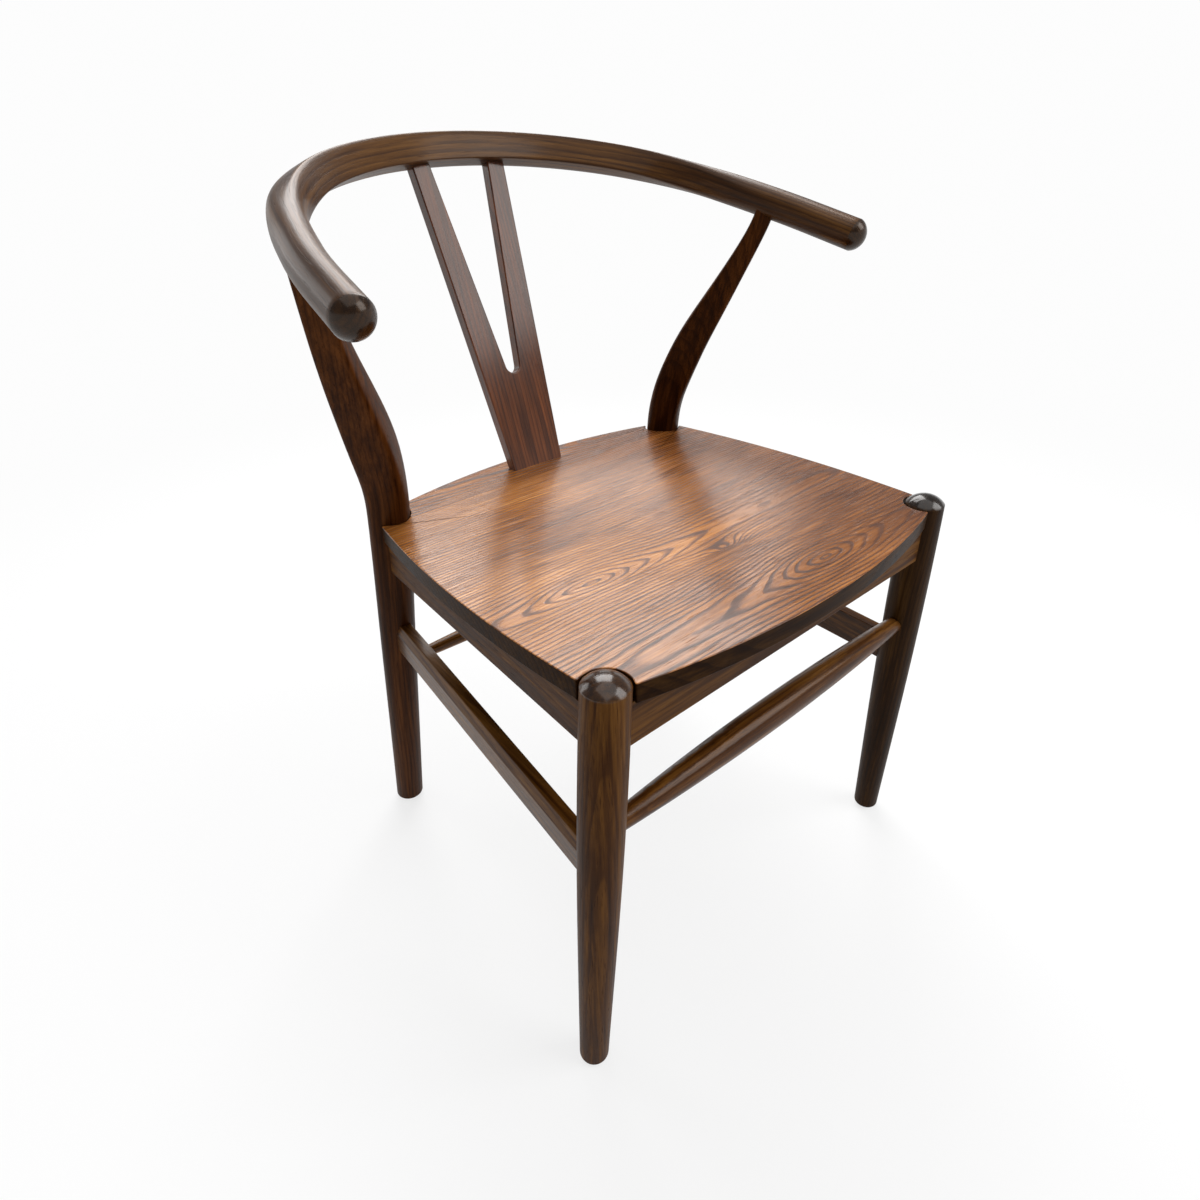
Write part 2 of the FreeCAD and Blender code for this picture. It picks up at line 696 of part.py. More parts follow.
pieces = {
    "top_rail": top_rail,
    "back_splat": back_splat,
    "seat_board": seat,
    "front_apron": front_apron,
    "rear_apron": rear_apron,
    "front_stretcher": front_stretcher,
    "rear_stretcher": rear_stretcher,
    "corner_block_screws": Part.makeCompound(block_screws),
    "seat_screws": Part.makeCompound(seat_screws),
}
right_pieces = {
    "front_leg": front_leg_right,
    "rear_leg": rear_leg_right,
    "side_apron": right_apron,
    "side_stretcher": side_stretcher,
    "front_corner_block": front_block,
    "rear_corner_block": rear_block,
    "front_glide": front_glide,
    "rear_glide": rear_glide,
}
for name, shape in right_pieces.items():
    pieces[name + "_right"] = shape
    pieces[name + "_left"] = mirrored(shape)

# The chair stands on the floor with the middle of its outline over the origin.
front_reach = seat_front_depth - seat_front_bow
back_reach = top_rail.optimalBoundingBox(False).YMax
to_middle = V(0, -(front_reach + back_reach) / 2, 0)
os.makedirs("parts", exist_ok=True)
for name, shape in pieces.items():
    placed = shape.copy()
    placed.translate(to_middle)
    placed.exportStep("parts/" + name + ".step")
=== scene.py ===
import math

import bmesh
import bpy
from mathutils import Matrix, Vector


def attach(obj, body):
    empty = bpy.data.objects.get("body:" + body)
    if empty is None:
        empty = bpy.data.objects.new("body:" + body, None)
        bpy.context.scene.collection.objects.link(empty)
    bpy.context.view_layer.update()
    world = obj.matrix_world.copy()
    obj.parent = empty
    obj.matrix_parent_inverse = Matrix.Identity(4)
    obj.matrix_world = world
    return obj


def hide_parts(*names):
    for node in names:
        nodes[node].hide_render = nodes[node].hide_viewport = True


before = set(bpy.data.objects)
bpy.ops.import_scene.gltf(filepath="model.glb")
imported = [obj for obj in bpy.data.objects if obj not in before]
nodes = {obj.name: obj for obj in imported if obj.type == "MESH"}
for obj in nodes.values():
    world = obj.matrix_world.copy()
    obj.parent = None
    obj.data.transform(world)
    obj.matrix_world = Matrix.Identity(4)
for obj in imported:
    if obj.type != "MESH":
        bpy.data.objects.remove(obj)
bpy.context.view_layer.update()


# Front posts: turned from straight-grained ash and stained dark, under satin lacquer.
# Each ends in a low dome that stands above the seat; its end grain drinks the stain and
# comes out darker and glossier than the sides.
class Shade:
    """A socket of a material; arithmetic on it adds the Math nodes."""

    def __init__(self, tree, socket=None):
        self.tree = tree
        self.socket = socket

    def node(self, kind, settings=None, sockets=None, out=0):
        made = self.tree.nodes.new("ShaderNode" + kind)
        for name, value in (settings or {}).items():
            if name == "stops":
                self.set_stops(made.color_ramp, value)
            else:
                setattr(made, name, value)
        for name, value in (sockets or {}).items():
            if isinstance(value, Shade):
                self.tree.links.new(value.socket, made.inputs[name])
            else:
                made.inputs[name].default_value = value
        return Shade(self.tree, made.outputs[out] if made.outputs else None)

    def set_stops(self, ramp, stops):
        for element, (place, colour) in zip(ramp.elements, (stops[0], stops[-1])):
            element.position = place
            element.color = (*colour, 1)
        for place, colour in stops[1:-1]:
            ramp.elements.new(place).color = (*colour, 1)

    def maths(self, operation, first, second=0.0):
        return self.node("Math", {"operation": operation}, {0: first, 1: second})

    def __add__(self, other):
        return self.maths("ADD", self, other)

    def __radd__(self, other):
        return self.maths("ADD", other, self)

    def __sub__(self, other):
        return self.maths("SUBTRACT", self, other)

    def __rsub__(self, other):
        return self.maths("SUBTRACT", other, self)

    def __mul__(self, other):
        return self.maths("MULTIPLY", self, other)

    def __rmul__(self, other):
        return self.maths("MULTIPLY", other, self)

    def __truediv__(self, other):
        return self.maths("DIVIDE", self, other)

    def __rtruediv__(self, other):
        return self.maths("DIVIDE", other, self)

    def __pow__(self, other):
        return self.maths("POWER", self, other)


def new_material(name):
    """An empty material: its shader node, and a Shade to make the other nodes from."""
    material = bpy.data.materials.new(name)
    material.use_nodes = True
    tree = material.node_tree
    tree.nodes.clear()
    shader = tree.nodes.new("ShaderNodeBsdfPrincipled")
    output = tree.nodes.new("ShaderNodeOutputMaterial")
    tree.links.new(shader.outputs[0], output.inputs["Surface"])
    return material, shader, Shade(tree)


def link(shade, shader, socket):
    shade.tree.links.new(shade.socket, shader.inputs[socket])


def rise(value, low, high):
    """A soft step from 0 at low to 1 at high."""
    return value.node(
        "MapRange",
        {"interpolation_type": "SMOOTHSTEP"},
        {"Value": value, "From Min": low, "From Max": high},
    )


def grain_coordinates(start, along):
    """Metres along the grain, then across it both ways: from the piece's place, or its own attribute."""
    if along is None:
        place = start.node("Attribute", {"attribute_name": "grain"}, out="Vector")
    else:
        turn = Vector(along).rotation_difference(Vector((1, 0, 0))).to_euler()
        place = start.node("TexCoord", out="Object")
        place = start.node("Mapping", {}, {"Vector": place, "Rotation": turn})
    return [start.node("SeparateXYZ", {}, {"Vector": place}, out=i) for i in range(3)]


def noise(x, y, z, stretch, detail=2.0, shift=0.0):
    """Noise between 0 and 1 with its own number of cells to the metre each way."""
    cells = {"X": x * stretch[0] + shift, "Y": y * stretch[1], "Z": z * stretch[2]}
    place = x.node("CombineXYZ", {}, cells)
    return x.node("TexNoise", {}, {"Vector": place, "Scale": 1.0, "Detail": detail, "Roughness": 0.55})


def stained_wood(name, along, tones, pith, spacing, finish, end=None):
    """Ash with growth rings about a pith line, long pores, fibres and uneven stain.

    end holds a middle along the grain, where the dark end grain begins and is full
    on either side of it, and the coat on it.
    """
    ring_sway = 0.03
    ring_ripple = 0.0025
    material, shader, start = new_material(name)
    x, y, z = grain_coordinates(start, along)
    wander = noise(x, y, z, (1.6, 11, 11))
    ripple = noise(x, y, z, (9, 60, 60), shift=4.0)
    side = y - pith[0]
    lift = z - pith[1]
    reach = (side * side + lift * lift) ** 0.5
    phase = (reach + (wander - 0.5) * ring_sway + (ripple - 0.5) * ring_ripple) / spacing
    ring = start.maths("FRACT", phase)
    late = rise(ring, 0.45, 0.92) * (1 - rise(ring, 0.93, 1.0))
    early = 1 - rise(ring, 0.02, 0.38)
    fibre = noise(x, y, z, (14, 420, 420), detail=3.0)
    pore = rise(noise(x, y, z, (38, 1100, 1100), shift=9.0), 0.56, 0.68) * (0.35 + 0.65 * early)
    cloud = noise(x, y, z, (2.6, 14, 14), detail=3.0, shift=2.0)
    streak = noise(x, y, z, (7, 150, 150), detail=4.0, shift=6.0)
    patchy = (cloud - 0.5) * 0.9 + (streak - 0.5) * 1.1 + (fibre - 0.5) * 0.6
    tone = 0.5 + patchy - late * finish["figure"] - pore * 0.3
    colour = start.node("ValToRGB", {"stops": tones}, {"Fac": tone})
    rough = finish["rough"] + (cloud - 0.5) * 0.1 + (streak - 0.5) * 0.25 + pore * 0.16
    coat = finish["coat"]
    shader.inputs["Coat Weight"].default_value = coat
    if end is not None:
        cap = rise(start.maths("ABSOLUTE", x - end[0]), end[1], end[2])
        darker = start.node(
            "Mix",
            {"data_type": "RGBA", "blend_type": "MULTIPLY"},
            {0: 1.0, 6: colour, 7: (0.3, 0.27, 0.27, 1)},
            out=2,
        )
        colour = start.node("Mix", {"data_type": "RGBA"}, {0: cap, 6: colour, 7: darker}, out=2)
        rough = rough - cap * 0.18
        link(coat + cap * (end[3] - coat), shader, "Coat Weight")
    link(colour, shader, "Base Color")
    link(rough, shader, "Roughness")
    height = fibre * 0.4 + streak * 0.5 - pore - late * 0.3
    bump = start.node("Bump", {}, {"Strength": 0.3, "Distance": 0.0004, "Height": height})
    link(bump, shader, "Normal")
    shader.inputs["IOR"].default_value = 1.5
    shader.inputs["Specular IOR Level"].default_value = finish["shine"]
    shader.inputs["Specular Tint"].default_value = (1.0, 0.66, 0.42, 1)
    shader.inputs["Coat Roughness"].default_value = 0.16
    return material


def tinted(stain, shares):
    """A stain with its red, green and blue each taken by a share."""
    return [(place, tuple(c * share for c, share in zip(colour, shares))) for place, colour in stain]


def dress(material, *names):
    """Gives CAD pieces a material."""
    for name in names:
        nodes[name].data.materials.clear()
        nodes[name].data.materials.append(material)


walnut_stain = [
    (0.0, (0.015, 0.0035, 0.0006)),
    (0.35, (0.048, 0.0155, 0.0025)),
    (0.60, (0.104, 0.0405, 0.0070)),
    (1.0, (0.215, 0.0950, 0.0210)),
]
satin = {"rough": 0.46, "shine": 0.08, "coat": 0.015, "figure": 0.16}
seat_top = 0.450
# A stain at under a third of the walnut: the dark stain of the seat's edges, and painted shade on the
# right front post, which is the same wood as the left.
deep_stain_and_painted_shade = tinted(walnut_stain, (0.30, 0.30, 0.30))
post_dome = (0, seat_top - 0.001, seat_top + 0.002, 0.9)
# The right post takes the darker stain as painted shade.
for side_name, stain in (("left", walnut_stain), ("right", deep_stain_and_painted_shade)):
    post_wood = stained_wood(
        "post_wood_" + side_name, (0, 0, 1), stain, (0.02, 0.06), 0.0042, satin, end=post_dome
    )
    dress(post_wood, "front_leg_" + side_name)


# Rear legs: sawn from thick plank to a raked shank and an S, then shaped round by hand.
# The grain follows the plank, so it runs out where the S turns; the neck is tenoned
# into the rail from below.
# The rear legs take a redder, much darker copy of the stain: the red is their stain, the darkness is
# painted shade.
leg_stain_and_painted_shade = tinted(walnut_stain, (0.52, 0.38, 0.36))
leg_wood = stained_wood("leg_wood", (0, -0.20, 1), leg_stain_and_painted_shade, (0.05, 0.07), 0.0045, satin)
dress(leg_wood, "rear_leg_left", "rear_leg_right")


# Aprons: planed boards tenoned into the legs, their shoulders cut to the round of the posts.
# The front and rear ones run across the chair, the side ones from front to back.
cross_wood = stained_wood("cross_apron_wood", (1, 0, 0), walnut_stain, (0.05, 0.30), 0.0055, satin)
side_wood = stained_wood("side_apron_wood", (0, 1, 0), walnut_stain, (0.05, 0.30), 0.0055, satin)
dress(cross_wood, "front_apron", "rear_apron")
dress(side_wood, "side_apron_left", "side_apron_right")


# Corner blocks: short pieces of unstained ash, glued and screwed into the corners of the
# seat frame. They are seen only from underneath, with the screws that hold the seat.
raw_ash = [
    (0.0, (0.22, 0.13, 0.060)),
    (0.45, (0.40, 0.27, 0.150)),
    (1.0, (0.58, 0.43, 0.270)),
]
sawn = {"rough": 0.65, "shine": 0.3, "coat": 0.0, "figure": 0.26}
block_wood = stained_wood("block_wood", (1, 0.6, 0), raw_ash, (0.3, 0.3), 0.0035, sawn)
for end in ("front", "rear"):
    dress(block_wood, end + "_corner_block_left", end + "_corner_block_right")
screw_steel, shader, start = new_material("zinc_screw")
x, y, z = grain_coordinates(start, (0, 0, 1))
scuff = noise(x, y, z, (900, 900, 900), detail=3.0)
link(0.28 + scuff * 0.2, shader, "Roughness")
zinc = [(0.2, (0.42, 0.42, 0.40)), (0.8, (0.66, 0.66, 0.64))]
link(start.node("ValToRGB", {"stops": zinc}, {"Fac": scuff}), shader, "Base Color")
shader.inputs["Metallic"].default_value = 1.0
dress(screw_steel, "corner_block_screws", "seat_screws")


# Stretchers: turned spindles in front and behind that swell to the middle, and tall
# bevelled boards at the sides that climb to the back; all are plugged into the legs.
rubbed = {"rough": 0.34, "shine": 0.12, "coat": 0.26, "figure": 0.2}
spindle_stain = tinted(walnut_stain, (1.3, 1.3, 1.3))
spindle_wood = stained_wood("spindle_wood", (1, 0, 0), spindle_stain, (0.09, 0.20), 0.0048, rubbed)
dress(spindle_wood, "front_stretcher", "rear_stretcher")
climb = (0, 0.365, 0.039)
board_wood = stained_wood("side_stretcher_wood", climb, walnut_stain, (0.09, 0.14), 0.0048, rubbed)
dress(board_wood, "side_stretcher_left", "side_stretcher_right")


# Seat: ash boards glued edge to edge, their grain across the chair, cut out round the legs and
# dished. It is stained a redder brown than the frame, and its edges dark. The arches on each
# board come from how it was cut from the log.
chair_middle = 0.22579
seat_thick = 0.018
seat_round = 0.0010
horn_round = 0.0025
seat_front = -0.006 - chair_middle
seat_rear = 0.361 - chair_middle
seat_half_front = 0.224
seat_half_rear = 0.208
dish_depth = 0.005
dish_radius = 0.190
dish_middle = Vector((0, 0.1655 - chair_middle))
seat_hub = Vector((0, 0))
post_room = {"middle": Vector((0.21604, -chair_middle)), "radius": 0.0209}
leg_room = {
    "middle": Vector((0.19674, 0.35412 - chair_middle)),
    "wide": 0.02105,
    "thick": 0.0220,
    "sharp": 0.3,
}
leg_across = Vector((0.5873, -0.8094))
leg_along = Vector((0.8094, 0.5873))


def soft_corner(t, sharpness):
    """A point on a unit quarter between a circle and a crisp corner."""
    first, last = (1 - t) ** 6, t ** 6
    turn = t * math.pi / 2
    side = math.cos(turn) * (1 - sharpness) + (1 - last) * sharpness
    up = math.sin(turn) * (1 - sharpness) + (1 - first) * sharpness
    return side, up


def outline(steps, sharpness):
    """A closed outline of four quarters round a unit square, as pairs."""
    ring = []
    for quarter, sharp in enumerate(sharpness):
        for k in range(steps):
            a, b = soft_corner(k / steps, sharp)
            for _ in range(quarter):
                a, b = -b, a
            ring.append((a, b))
    return ring


def swept(name, rings):
    """A closed skin through rings; each ring is a list of places and of grain coordinates."""
    mesh = bpy.data.meshes.new(name)
    bm = bmesh.new()
    layer = bm.verts.layers.float_vector.new("grain")
    loop = bmesh.ops.create_circle(bm, segments=len(rings[0]))["verts"]
    for i, ring in enumerate(rings):
        if i:
            edges = [bm.edges.get((loop[k - 1], loop[k])) for k in range(len(loop))]
            grown = bmesh.ops.extrude_edge_only(bm, edges=edges)["geom"]
            new = set(g for g in grown if isinstance(g, bmesh.types.BMVert))
            around = [[e.other_vert(v) for e in v.link_edges] for v in loop]
            loop = [next(v for v in near if v in new) for near in around]
        for vert, (place, grain) in zip(loop, ring):
            vert.co = place
            vert[layer] = grain
    bmesh.ops.holes_fill(bm, edges=[e for e in bm.edges if e.is_boundary])
    bmesh.ops.recalc_face_normals(bm, faces=bm.faces)
    if bm.calc_volume(signed=True) < 0:
        bmesh.ops.reverse_faces(bm, faces=bm.faces)
    for face in bm.faces:
        face.smooth = True
    bm.to_mesh(mesh)
    bm.free()
    mesh.set_sharp_from_angle(angle=math.radians(38))
    piece = bpy.data.objects.new(name, mesh)
    bpy.context.scene.collection.objects.link(piece)
    return piece


def holds(ring, p):
    """Whether a closed ring of points goes round p."""
    inside = False
    for a, b in zip(ring, ring[1:] + ring[:1]):
        if (a.y > p.y) != (b.y > p.y) and p.x < a.x + (p.y - a.y) * (b.x - a.x) / (b.y - a.y):
            inside = not inside
    return inside


def bowed(a, b, bow, count):
    """Points of an arc from a to b that swells to the right of the way by bow."""
    chord = b - a
    outward = Vector((chord.y, -chord.x)).normalized()
    radius = (chord.length ** 2 / 4 + bow ** 2) / (2 * bow)
    middle = (a + b) / 2 - outward * (radius - bow)
    half = math.asin(chord.length / 2 / radius)
    points = []
    for k in range(count):
        turn = half * (2 * k / (count - 1) - 1)
        out, on = radius * math.cos(turn), radius * math.sin(turn)
        points.append(middle + outward * out + chord.normalized() * on)
    return points


def mirrored(ring):
    """A ring on the chair's other side, going round the same way."""
    return [Vector((-p.x, p.y)) for p in reversed(ring)]


corners = [
    Vector((-seat_half_front, seat_front)),
    Vector((seat_half_front, seat_front)),
    Vector((seat_half_rear, seat_rear)),
    Vector((-seat_half_rear, seat_rear)),
]
bows = (0.032, 0.0145, 0.034, 0.0145)
arc_points = 900
arcs = [bowed(a, b, bow, arc_points) for a, b, bow in zip(corners, corners[1:] + corners[:1], bows)]
whole = arcs[0] + arcs[1] + arcs[2] + arcs[3]
post_ring = [
    post_room["middle"] + Vector((math.cos(turn), math.sin(turn))) * post_room["radius"]
    for turn in (-2 * math.pi * k / 72 for k in range(72))
]
leg_ring = [
    leg_room["middle"] + leg_across * a * leg_room["wide"] + leg_along * b * leg_room["thick"]
    for a, b in outline(18, [leg_room["sharp"]] * 4)
]
if leg_along.cross(leg_across) < 0:
    leg_ring.reverse()
rooms = [mirrored(post_ring), post_ring, leg_ring, mirrored(leg_ring)]
edges = []
for i, arc in enumerate(arcs):
    edges.append([p for p in arc if not holds(rooms[i], p) and not holds(rooms[(i + 1) % 4], p)])
seat_loop = []
for i, edge in enumerate(edges):
    seat_loop += [edge[0]] + edge[8:-8:8] + [edge[-1]]
    room = rooms[(i + 1) % 4]
    inside = [holds(whole, p) for p in room]
    first = next(k for k in range(len(room)) if inside[k] and not inside[k - 1])
    wall = (room[first:] + room[:first])[:sum(inside)]
    horns = (edge[-1], edges[(i + 1) % 4][0])
    seat_loop += [p for p in wall if min((p - horn).length for horn in horns) > 2 * horn_round]


def eased(ring, radius):
    """A ring with its sharp turns rounded over."""
    made = []
    for k, p in enumerate(ring):
        back, on = (ring[k - 1] - p), (ring[(k + 1) % len(ring)] - p)
        if (-back).angle(on, 0) < 0.6:
            made.append(p)
            continue
        a = p + back.normalized() * min(radius, back.length * 0.5)
        b = p + on.normalized() * min(radius, on.length * 0.5)
        made += [a * (1 - t) ** 2 + p * 2 * t * (1 - t) + b * t * t for t in (0, 0.25, 0.5, 0.75, 1)]
    return made


seat_loop = eased(seat_loop, horn_round)


def drawn_in(ring, depth):
    """A ring moved inward by depth."""
    made = []
    for k, p in enumerate(ring):
        way = (ring[(k + 1) % len(ring)] - p).normalized() + (p - ring[k - 1]).normalized()
        way.normalize()
        made.append(p + Vector((-way.y, way.x)) * depth)
    return made


def dish(p):
    """How far the seat's top is hollowed at p."""
    share = min((p - dish_middle).length / dish_radius, 1)
    return dish_depth * (1 - share * share) ** 2


def seat_ring(points, height):
    """A level ring of the seat, with its places as grain coordinates."""
    ring = [Vector((p.x, p.y, height)) for p in points]
    return [(p, p) for p in ring]


seat_low = seat_top - seat_thick
flat_loop = drawn_in(seat_loop, seat_round + 0.0003)
seat_rings = [seat_ring([seat_hub.lerp(p, 0.02) for p in flat_loop], seat_low)]
seat_rings.append(seat_ring(flat_loop, seat_low))
for k in range(5):
    turn = math.pi / 2 * k / 4
    ring = drawn_in(seat_loop, seat_round * (1 - math.sin(turn)))
    seat_rings.append(seat_ring(ring, seat_low + seat_round * (1 - math.cos(turn))))
seat_rings.append(seat_ring(seat_loop, seat_low + seat_round + 0.0003))
seat_rings.append(seat_ring(seat_loop, seat_top - seat_round - 0.0005))
for k in range(5):
    turn = math.pi / 2 * k / 4
    ring = drawn_in(seat_loop, seat_round * (1 - math.cos(turn)))
    seat_rings.append(seat_ring(ring, seat_top - seat_round * (1 - math.sin(turn))))
shrinks = 30
for k in range(shrinks):
    share = 1 - k / (shrinks - 1) * 0.99
    ring = [seat_hub.lerp(p, share) for p in flat_loop]
    seat_rings.append([(Vector((p.x, p.y, seat_top - dish(p))), Vector((p.x, p.y, 0))) for p in ring])
seat = swept("dished_seat", seat_rings)

seat_stain = [
    (0.0, (0.035, 0.0090, 0.0020)),
    (0.30, (0.098, 0.0290, 0.0070)),
    (0.55, (0.240, 0.0830, 0.0180)),
    (0.80, (0.430, 0.1680, 0.0380)),
    (1.0, (0.620, 0.2800, 0.0780)),
]
seat_boards = [
    {"from": -0.40, "arch": (0.05, -0.222), "rake": 0.30, "span": 0.10, "lift": 0.02},
    {"from": -0.126, "arch": (-0.13, -0.112), "rake": 0.25, "span": 0.11, "lift": 0.05},
    {"from": -0.041, "arch": (0.60, -0.200), "rake": 0.06, "span": 0.50, "lift": 0.00},
    {"from": 0.029, "arch": (-0.60, 0.250), "rake": 0.05, "span": 0.50, "lift": 0.04},
    {"from": 0.109, "arch": (0.15, 0.160), "rake": 0.35, "span": 0.10, "lift": -0.08},
]
seat_wood, shader, start = new_material("seat_wood")
x, y, z = grain_coordinates(start, (1, 0, 0))
wander = noise(x, y, z, (7, 22, 10), detail=2.0)
ripple = noise(x, y, z, (22, 90, 40), shift=3.0)
glue_line = 0.0002
reach = 0.0
lift = 0.0
for number, board in enumerate(seat_boards):
    inside = rise(y, board["from"] - glue_line, board["from"] + glue_line)
    if number + 1 < len(seat_boards):
        edge = seat_boards[number + 1]["from"]
        inside = inside * (1 - rise(y, edge - glue_line, edge + glue_line))
    along = x - board["arch"][0]
    run = along * board["rake"] / (1 + (along / board["span"]) ** 2.0) ** 0.5
    side = y - board["arch"][1]
    arch = (run * run + side * side) ** 0.5
    reach = inside * (arch + number * 0.0131) + reach
    lift = inside * board["lift"] + lift
knot_place = (0.004, -0.146)
knot_size = (0.034, 0.013)
knot_along = (x - knot_place[0]) / knot_size[0]
knot_side = (y - knot_place[1]) / knot_size[1]
knot = 1 / (1 + knot_along * knot_along + knot_side * knot_side) ** 2.0
seat_ring_spacing = 0.0041
sway = knot * 0.016 + (wander - 0.5) * 0.011 + (ripple - 0.5) * 0.0020
phase = (reach + sway) / seat_ring_spacing
ring = start.maths("FRACT", phase)
late = rise(ring, 0.45, 0.82) * (1 - rise(ring, 0.86, 1.0))
early = 1 - rise(ring, 0.05, 0.45)
fibre = noise(x, y, z, (16, 300, 200), detail=4.0)
pore = rise(noise(x, y, z, (34, 1000, 600), shift=7.0), 0.55, 0.68) * (0.25 + 0.75 * early)
cloud = noise(x, y, z, (3.2, 9, 8), detail=3.0, shift=1.0)
streak = noise(x, y, z, (14, 150, 80), detail=4.0, shift=5.0)
# shade darkens the seat towards its right side, which is painted shade, and round the knot, which is the
# knot's own darker wood.
shade = rise(x, -0.04, 0.20) * 0.20 + knot * 0.2
patchy = (cloud - 0.5) * 0.8 + (streak - 0.5) * 0.35 + (fibre - 0.5) * 0.8
figure = late * (0.48 - 0.28 * rise(x, 0.0, 0.14))
tone = 0.66 + lift + patchy - figure - pore * 0.28 - shade
link(start.node("ValToRGB", {"stops": seat_stain}, {"Fac": tone}), shader, "Base Color")
rough = 0.22 + (cloud - 0.5) * 0.08 + (streak - 0.5) * 0.1 + pore * 0.16 + late * 0.12
link(rough, shader, "Roughness")
height = fibre * 0.2 - pore - late * 0.35
link(start.node("Bump", {}, {"Strength": 0.3, "Distance": 0.0005, "Height": height}), shader, "Normal")
shader.inputs["IOR"].default_value = 1.5
shader.inputs["Specular IOR Level"].default_value = 0.33
shader.inputs["Specular Tint"].default_value = (1.0, 0.92, 0.84, 1)
shader.inputs["Coat Weight"].default_value = 0.16
shader.inputs["Coat Roughness"].default_value = 0.2
glossy = {"rough": 0.36, "shine": 0.03, "coat": 0.015, "figure": 0.2}
edge_wood = stained_wood("seat_edge_wood", (1, 0, 0), deep_stain_and_painted_shade, (0.05, 0.30), 0.0055, glossy)
seat.data.materials.append(seat_wood)
seat.data.materials.append(edge_wood)
# Faces sloping up more than arris_slope take the lighter top wood, so the rounded top arris shows a thin
# light line: partly the top's stain running over the rounding, partly a painted highlight.
arris_slope = 0.4
for face in seat.data.polygons:
    face.material_index = 0 if face.normal.z > arris_slope else 1
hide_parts("seat_board")
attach(seat, "root")


# Forked back board: one thin board with a tapered slot, leaning back from the seat.
# Its grain runs up the board, its arrises are eased and its lacquer is glossier.
splat_lean = math.radians(19)
lacquered = {"rough": 0.36, "shine": 0.12, "coat": 0.65, "figure": 0.22}
splat_stain = tinted(walnut_stain, (0.92, 0.58, 0.60))
splat_way = (0, math.sin(splat_lean), math.cos(splat_lean))
splat_wood = stained_wood("splat_wood", splat_way, splat_stain, (0.01, 0.05), 0.0046, lacquered)
dress(splat_wood, "back_splat")


# Top rail: one length of ash bent to a horseshoe, round at the arms and a leaning bar with
# a flat inner face behind the back. The arms end in darker domes of end grain.
rail_tip = Vector((0.278, 0.1495 - chair_middle, 0.676))
rail_back = Vector((0, 0.4755 - chair_middle, 0.763655))
rail_plan = [(1.0, 0.0), (0.945, 0.330), (0.832, 0.612), (0.613, 0.830), (0.321, 0.958)]
arm_radius = 0.0155
dome_radius = 0.0164
dome_back = 0.001
bar_half_thick = 0.012
bar_half_high = 0.014
bar_lean = math.radians(24)
bar_corners = (0.45, 0.75, 0.92, 0.5)
flat_from = 0.26
flat_over = 0.34
right = [Vector((rail_tip.x * a, *(rail_tip.yz.lerp(rail_back.yz, b)))) for a, b in rail_plan]
rail_points = right + [rail_back] + [Vector((-p.x, p.y, p.z)) for p in reversed(right)]
rail_stops = [0.0]
for before, after in zip(rail_points, rail_points[1:]):
    rail_stops.append(rail_stops[-1] + (after - before).length)
rail_run = rail_stops[-1]
rail_quarter_steps = 16
rail_ring_count = 190


def ease(t):
    """A soft step from 0 to 1."""
    t = min(max(t, 0.0), 1.0)
    return t * t * (3 - 2 * t)


def smooth_line(points, stops, stop):
    """The point at a stop of a smooth curve through points, each at its own stop."""
    i = max(k for k in range(len(stops) - 1) if k == 0 or stops[k] <= stop)
    slopes = []
    for k in (i, i + 1):
        low, high = max(k - 1, 0), min(k + 1, len(stops) - 1)
        before = (points[k] - points[low]) / max(stops[k] - stops[low], 1e-9)
        after = (points[high] - points[k]) / max(stops[high] - stops[k], 1e-9)
        if low == k:
            slopes.append(after)
        elif high == k:
            slopes.append(before)
        else:
            share = (stops[k] - stops[low]) / (stops[high] - stops[low])
            slopes.append(before * (1 - share) + after * share)
    span = stops[i + 1] - stops[i]
    t = (stop - stops[i]) / span
    return (
        points[i] * (1 + 2 * t) * (1 - t) ** 2
        + slopes[0] * span * t * (1 - t) ** 2
        + points[i + 1] * t * t * (3 - 2 * t)
        + slopes[1] * span * t * t * (t - 1)
    )


def rail_ring(stop, size, shift):
    """The rail's outline at a stop, shrunk by size and pushed along by shift."""
    share = min(stop, rail_run - stop) / (rail_run / 2)
    flat = ease((share - flat_from) / flat_over)
    step = 0.001
    low, high = max(stop - step, 0), min(stop + step, rail_run)
    ahead = smooth_line(rail_points, rail_stops, high) - smooth_line(rail_points, rail_stops, low)
    ahead.normalize()
    outward = Vector((ahead.y, -ahead.x, 0)).normalized()
    upright = Vector((0, 0, 1)) * math.cos(bar_lean * flat) + outward * math.sin(bar_lean * flat)
    upright = (upright - ahead * upright.dot(ahead)).normalized()
    outward = ahead.cross(upright)
    thick = arm_radius + (bar_half_thick - arm_radius) * flat
    high_half = arm_radius + (bar_half_high - arm_radius) * flat
    centre = smooth_line(rail_points, rail_stops, stop) + ahead * shift
    ring = []
    for a, b in outline(rail_quarter_steps, [w * flat for w in bar_corners]):
        across, up = a * thick * size, b * high_half * size
        ring.append((centre + outward * across + upright * up, Vector((stop + shift, across, up))))
    return ring


